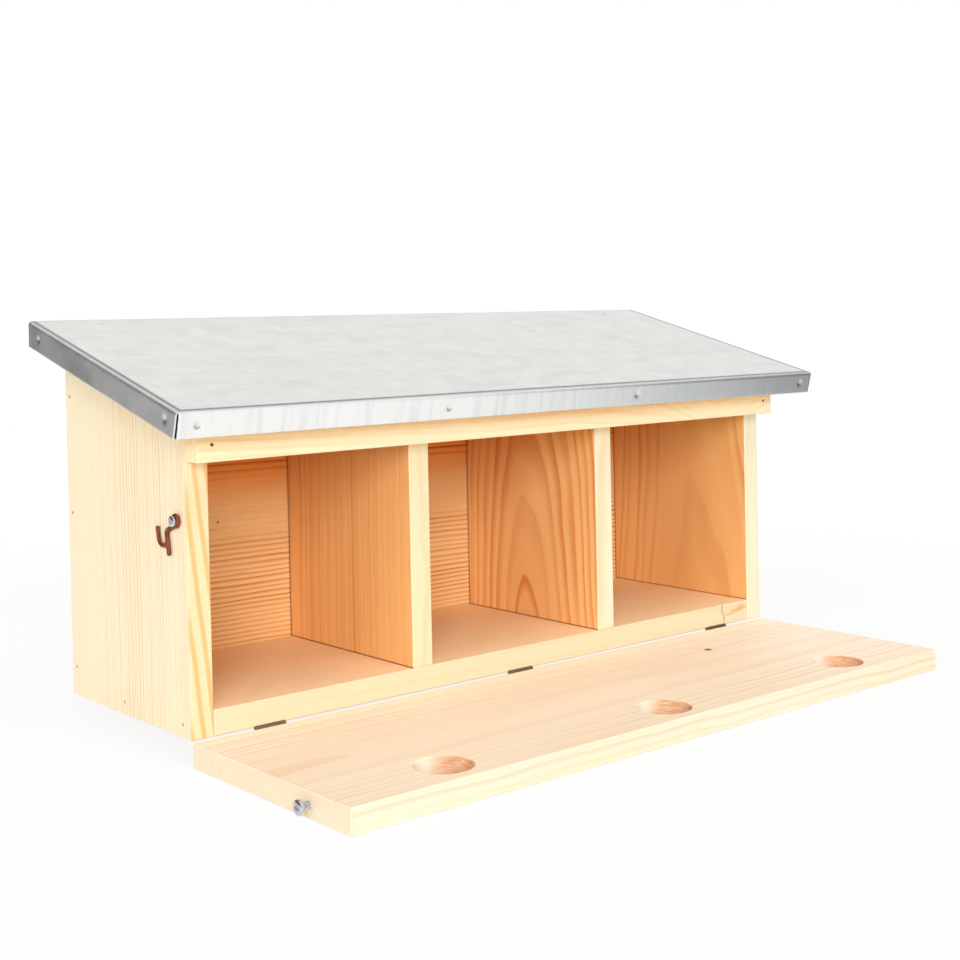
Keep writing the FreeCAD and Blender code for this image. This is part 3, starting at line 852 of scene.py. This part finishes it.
def threaded_shank(shank, neck, grip, pitch, turn):
    """Rows of (radius, height) from the neck to the tip, for angles given in turns.

    Thread: the groove is deepest where the fraction of (height / pitch - turn) is a half. The tip runs to
    a point over two shank radii.
    """
    every_turn = np.ones(len(turn))
    tip_start = 2 * shank - grip
    level = np.linspace(neck, tip_start, int((neck + grip) / pitch * 10))[:, None]
    tooth = np.abs((level / pitch - turn) % 1.0 - 0.5) * 2
    cut = np.clip((neck - 0.4 - level) / 0.8, 0, 1)
    threaded = shank * (1 - 0.26 * cut * (1 - np.clip(1.6 * tooth - 0.4, 0, 1)))
    tip = np.linspace(1, 0, 8)[1:, None] * every_turn
    radius = np.concatenate([threaded, 0.74 * shank * tip])
    return radius, np.concatenate([level * every_turn, tip_start - 2 * shank * (1 - tip)])


def cross_screw(shank, head, high, neck, grip, pitch, columns=48):
    """A head standing on a neck above a threaded shank, turned round Z."""
    turn = np.linspace(0, 1, columns, endpoint=False)
    head_radius, head_height = pan_head(head, high, turn)
    shank_radius, shank_height = threaded_shank(shank, neck, grip, pitch, turn)
    radius = np.concatenate([head_radius, shank_radius])
    return turned(radius, np.concatenate([head_height + neck, shank_height]), columns)


pivot_screw = cross_screw(1.5, 3.0, 1.9, 3.2, 11.0, pitch=1.1)
catch_screw = cross_screw(1.9, 4.0, 2.5, 5.2, 20.0, pitch=1.35)
print("screws of", len(pivot_screw), "and", len(catch_screw), "rows")

# %% Screws in their places
PIVOT_Y = FRONT + 9.5
PIVOT_Z = UNDERSIDE + 121.0
CATCH_Y = DOOR_FRONT + 36.0
CATCH_Z = DOOR_TOP - DOOR_THICKNESS / 2
HANDS = (("left", -1.0), ("right", 1.0))
SCREWS = (("pivot_screw_", pivot_screw, (PIVOT_Y, PIVOT_Z), "box", "hook_screw_"),
          ("catch_pin_", catch_screw, (CATCH_Y, CATCH_Z), "front", "catch_screw_"))
for hand, side in HANDS:
    for name, screw, place, body, replaced in SCREWS:
        grid = aimed(screw, (side * HALF_WIDTH, *place), (side, 0.0, 0.0))
        mesh = make_mesh(name + hand, [grid])
        make_piece(name + hand, mesh, body, bright_zinc, [replaced + hand])

# %% [markdown]
# ## Swing hooks
#
# Each hook is a small bronzed bar: an eye round the pivot screw, a cranked stem with a finger tail,
# and a claw that drops over the catch. The paths could be drawn by eye, but the claw has to meet the
# catch when the hook is swung over, so they are worked out from the distance between the two screws.
# At rest the hook hangs a little forward, as its weight leaves it.

# %% Sizes of the hook
BAR = 1.3
CLAW_BAR = 1.15
EYE = 1.58 + BAR
DIP = math.radians(24.0)
HANG = math.radians(10.0)
PIVOT = np.array([PIVOT_Y, PIVOT_Z])
CATCH_REACH = math.hypot(17.0, 6.0)
NOTCH_Y = PIVOT_Y + CATCH_REACH * math.cos(DIP)
NOTCH_Z = PIVOT_Z - CATCH_REACH * math.sin(DIP)
CLAW = CLAW_BAR + 1.9 + 2.0
CLAW_LIFT = 5.6
CRANK_DROP = 4.2
CRANK_BEND = 2.4
TAIL = 10.0
print("hook reaches", round(NOTCH_Y + CLAW - PIVOT_Y, 2), "mm from its pivot")


# %% Stem and claw
def rounded_path(start, corner, end, radius, count=40):
    """Straight to a corner and on to an end, with a quadratic curve within radius of the corner."""
    start, corner, end = np.array([start, corner, end])
    first = (corner - start) / np.linalg.norm(corner - start)
    second = (end - corner) / np.linalg.norm(end - corner)
    share = np.linspace(0, 1, count)[:, None]
    before, after = corner - first * radius, corner + second * radius
    bend = (1 - share) ** 2 * before + 2 * share * (1 - share) * corner + share ** 2 * after
    return np.concatenate([start + (before - start) * share[:-1], bend, after + (end - after) * share[1:]])


def hung(path):
    """Turns a path about the pivot by the angle HANG, as the hook's weight leaves it."""
    sine, cosine = math.sin(HANG), math.cos(HANG)
    return (path - PIVOT) @ [[cosine, -sine], [sine, cosine]] + PIVOT


stem_y = NOTCH_Y - CLAW
foot = (PIVOT_Y + EYE * math.sin(DIP), PIVOT_Z - EYE * math.cos(DIP))
tail = (stem_y, NOTCH_Z - TAIL - BAR)
stem_path = hung(rounded_path(foot, (stem_y, PIVOT_Z - CRANK_DROP), tail, CRANK_BEND))
swing = np.linspace(math.pi, math.tau, 40)
rise = np.linspace(0, CLAW_LIFT + CLAW_BAR, 17)[1:]
claw_y = NOTCH_Y + np.append(CLAW * np.cos(swing), np.full(len(rise), CLAW))
claw_z = NOTCH_Z + np.append(CLAW * np.sin(swing), rise)
claw_path = hung(np.stack([claw_y, claw_z], axis=1))
print("stem", len(stem_path), "points, claw", len(claw_path), "points")

# %% [markdown]
# ### Bars along the paths
#
# A curve object with a round bevel could make a bar, but its ends would be flat. Here a circle is
# carried along the path, and shrinks to a point at both ends. The hook lies in one plane, so the
# circle's frame is simply the path's normal in that plane and the X axis. The eye is a torus.


# %% Bars and eye
def bar_along(path, radius, x, sides=28):
    """A circle at each point of a path in Y and Z. Its radius follows a quarter circle at both ends."""
    length = np.concatenate([[0], np.cumsum(np.linalg.norm(np.diff(path, axis=0), axis=1))])
    near_end = np.minimum(length, length[-1] - length)
    size = radius * np.sqrt(np.clip(1 - (1 - np.clip(near_end / radius, 0, 1)) ** 2, 0, 1))[:, None]
    ahead = np.gradient(path, axis=0)
    ahead /= np.linalg.norm(ahead, axis=1)[:, None]
    turn = np.linspace(0, math.tau, sides, endpoint=False)
    side = size * np.cos(turn)
    y, z = path[:, :1] - side * ahead[:, 1:], path[:, 1:] + side * ahead[:, :1]
    return np.stack([x + size * np.sin(turn), y, z], axis=-1)


def eye_ring(x, sides=28, steps=49):
    """A torus: the bar's circle carried round the pivot at the eye's radius."""
    turn = np.linspace(0, math.tau, sides, endpoint=False)
    round_eye = np.linspace(0, math.tau, steps)[:, None]
    away = EYE + BAR * np.cos(turn)
    y, z = PIVOT_Y + away * np.cos(round_eye), PIVOT_Z + away * np.sin(round_eye)
    return np.stack(np.broadcast_arrays(x + BAR * np.sin(turn), y, z), axis=-1)


print("the eye is", round(2 * (EYE + BAR), 2), "mm across")

# %% [markdown]
# ### Hooks in bronze
#
# The hook is cast in one piece, with small fillets where its bars meet, and has browned unevenly. A
# Boolean modifier would join the bars with hard creases. A voxel remesh fuses them, and a little
# smoothing turns the creases into fillets.

# %% Finish and hooks
VOXEL = 0.22
PLAY = 0.3


def bronze():
    """Copper brown that clouds with slow noise, over a fine, uneven roughness."""
    net = new_finish("bronze")
    where = net.place()
    cloud = net.noise(where, (260, 260, 260), 4)
    fine = net.noise(where, (1500, 1500, 1500))
    colour = net.mix(net.step(cloud, 0.3, 0.7), linear(118, 60, 40), linear(164, 94, 66))
    rough = net.step(fine, 0.3, 0.7, 0.34, 0.5)
    bump = net.bump(fine, 0.05 * MM)
    return net.solid(colour, rough, bump, {"Metallic": 0.85})


bronze_finish = bronze()
for hand, side in HANDS:
    x = side * (HALF_WIDTH + PLAY + BAR)
    bars = (eye_ring(x), bar_along(stem_path, BAR, x), bar_along(claw_path, CLAW_BAR, x))
    name = "swing_hook_" + hand
    mesh = make_mesh(name, bars)
    hook = make_piece(name, mesh, hand + "_hook", bronze_finish, ["hook_" + hand])
    fuse = hook.modifiers.new("fuse", "REMESH")
    fuse.mode = "VOXEL"
    fuse.voxel_size = VOXEL * MM
    fuse.use_smooth_shade = True
    soften = hook.modifiers.new("soften", "SMOOTH")
    soften.factor = 0.5
    soften.iterations = 4

# %% [markdown]
# ## Hinges and brads
#
# The hinges and the flush brads could be made again too, but little of them shows, so they keep the
# model's shape. The hinges are plated steel gone dull, and the brads bare steel that has begun to
# brown. The small ones in the sides have almost the colour of the wood.

# %% Finish of the hinges and brads
hinge_zinc = plated("hinge_zinc", linear(140, 122, 92), 0.32, 0.5)
brad_steel = plated("brad_steel", linear(120, 88, 62), 0.5, 0.7)
small_brad = plated("small_brad", linear(222, 190, 146), 0.5, 0.7)
for name in nodes:
    if name.startswith("hinge_"):
        wear(name, hinge_zinc)
    elif "nails" in name:
        wear(name, small_brad if name.startswith("side_") else brad_steel)
print("hinges wear", hinge_zinc.name, "and brads", brad_steel.name)

# %% [markdown]
# ## Floor and room
#
# The box stands on a white table in a white room. A floor bright enough to look pure white would throw
# too much light up under the box. So it lights the box as a plain white surface does, and a Light Path
# node shows it whiter to the camera, keeping some of its shade near the box. The room gives weak light
# from all sides, and looks white to the camera and to mirrors.


# %% Table and white room
def white_to_the_eye(net, shader, share):
    """Where a ray comes from the camera, a mirror or a pane, this share of the surface is plain white."""
    path = net.node("LightPath", {}, None)
    seen = net.math("MAXIMUM", path.outputs["Is Camera Ray"], path.outputs["Is Glossy Ray"])
    seen = net.math("MAXIMUM", seen, path.outputs["Is Transmission Ray"])
    kind = "Background" if net.owner.id_type == "WORLD" else "Emission"
    white = net.node(kind, {"Color": (1, 1, 1, 1)})
    return net.node("MixShader", {0: net.times(seen, share), 1: shader, 2: white})


def flat_card(name, corners, material):
    """One square of the stage: not part of the box."""
    mesh = bpy.data.meshes.new(name)
    mesh.from_pydata(corners, [], [(0, 1, 2, 3)])
    mesh.materials.append(material)
    card = add_object(name, mesh)
    return card


table = new_finish("white_table")
matt = table.node("BsdfDiffuse", {"Color": (0.86, 0.86, 0.86, 1.0)})
away = table.vector("LENGTH", table.vector("MULTIPLY", table.place(), FLAT))
table.end(white_to_the_eye(table, matt, table.step(away, 0.35, 0.8, 0.88, 1.0)))
REACH = 6.0
TABLE_GAP = 0.2
level = (DOOR_TOP - DOOR_THICKNESS - TABLE_GAP) * MM
corners = [(x * REACH, y * REACH, level) for x, y in ((-1, -1), (1, -1), (1, 1), (-1, 1))]
flat_card("table_top", corners, table.owner)

room = Finish(bpy.data.worlds.new("white_room"))
bpy.context.scene.world = room.owner
glow = room.node("Background", {"Color": (1.0, 0.99, 0.975, 1.0), "Strength": 0.28})
room.end(white_to_the_eye(room, glow, 1.0), "World")
print("floor at", round(level, 5))

# %% [markdown]
# ### Grey cards
#
# A bright metal sheet shows what is around it, and in a white room all its sides are white. It could
# be painted darker there, but it would then be dark from every side. Photographers stand grey cards
# out of the picture. The two here are seen only by mirrors: one darkens the left end of the roof, the
# other the right end of its front fold.


# %% Cards for the mirrors
def mirror_card(name, corners, grey_level):
    """A card that only mirrored rays meet: it throws no light or shadow and the camera misses it."""
    grey = new_finish(name)
    grey.end(grey.node("Emission", {"Color": (grey_level, grey_level, grey_level, 1.0)}))
    card = flat_card(name, corners, grey.owner)
    card.visible_camera = card.visible_diffuse = card.visible_shadow = False
    card.visible_transmission = card.visible_volume_scatter = False
    print(name, "at grey", grey_level)


def upright(start, end, height):
    """Corners of a card that stands on the table from a start to an end, seen from above."""
    return [(*start, level), (*end, level), (*end, height), (*start, height)]


mirror_card("card_back_left", upright((-3.0, -0.1), (-0.3, 2.2), 1.6), 0.11)
mirror_card("card_front_right", upright((0.45, -0.75), (0.75, -0.1), 0.3), 0.2)

# %% [markdown]
# ### Lamps
#
# The photograph was lit softly from the front left, and the rail throws a slanting shade into each
# chamber. A sun lamp would make that shade hard, and an even room none. Large area lamps make it soft:
# the front window throws it, and the others fill the left side, the back and the top. Mirrored lamps
# would burn out the roof from behind, so mirrors pass them by.


# %% Area lamps
def soft_lamp(name, place, target, size, power):
    """A square area lamp that faces a target. Metal mirrors the white room instead of it."""
    lamp = bpy.data.lights.new(name, "AREA")
    lamp.size = size
    lamp.energy = power
    holder = add_object(name, lamp)
    holder.location = place
    holder.rotation_euler = (Vector(place) - Vector(target)).to_track_quat("Z", "Y").to_euler()
    holder.visible_glossy = False
    print(name, "of", power, "W from", place)


soft_lamp("front_window", (-2.3, -3.35, 1.2), (0.0, -0.1, 0.0), 1.8, 115.0)
soft_lamp("left_window", (-4.0, -0.8, 1.2), (-0.2, -0.1, 0.0), 2.0, 40.0)
soft_lamp("back_right_window", (2.6, 2.5, 0.75), (0.0, -0.1, 0.0), 2.4, 40.0)
soft_lamp("ceiling", (-0.3, -1.8, 4.0), (0.0, -0.2, 0.0), 2.8, 92.0)

# %% [markdown]
# ### Camera
#
# The photographer stood at the front left, a little above the roof's front edge, and upright edges
# stay nearly upright in the picture. A tilted camera would make them lean. So the place and lens were
# worked out from the box's corners, and a small downward shift of the lens does most of the tilt's
# work.

# %% The photographer's camera
camera = bpy.data.cameras.new("camera")
camera.lens = 56.876
camera.sensor_width = 36.0
camera.shift_y = -0.1354
viewer = add_object("camera", camera)
viewer.location = (-0.645, -0.891, 0.1003)
viewer.rotation_euler = [math.radians(angle) for angle in (88.731, 1.22, -39.799)]
bpy.context.scene.camera = viewer
bpy.context.scene.view_settings.view_transform = "Standard"
print("camera at", viewer.location)
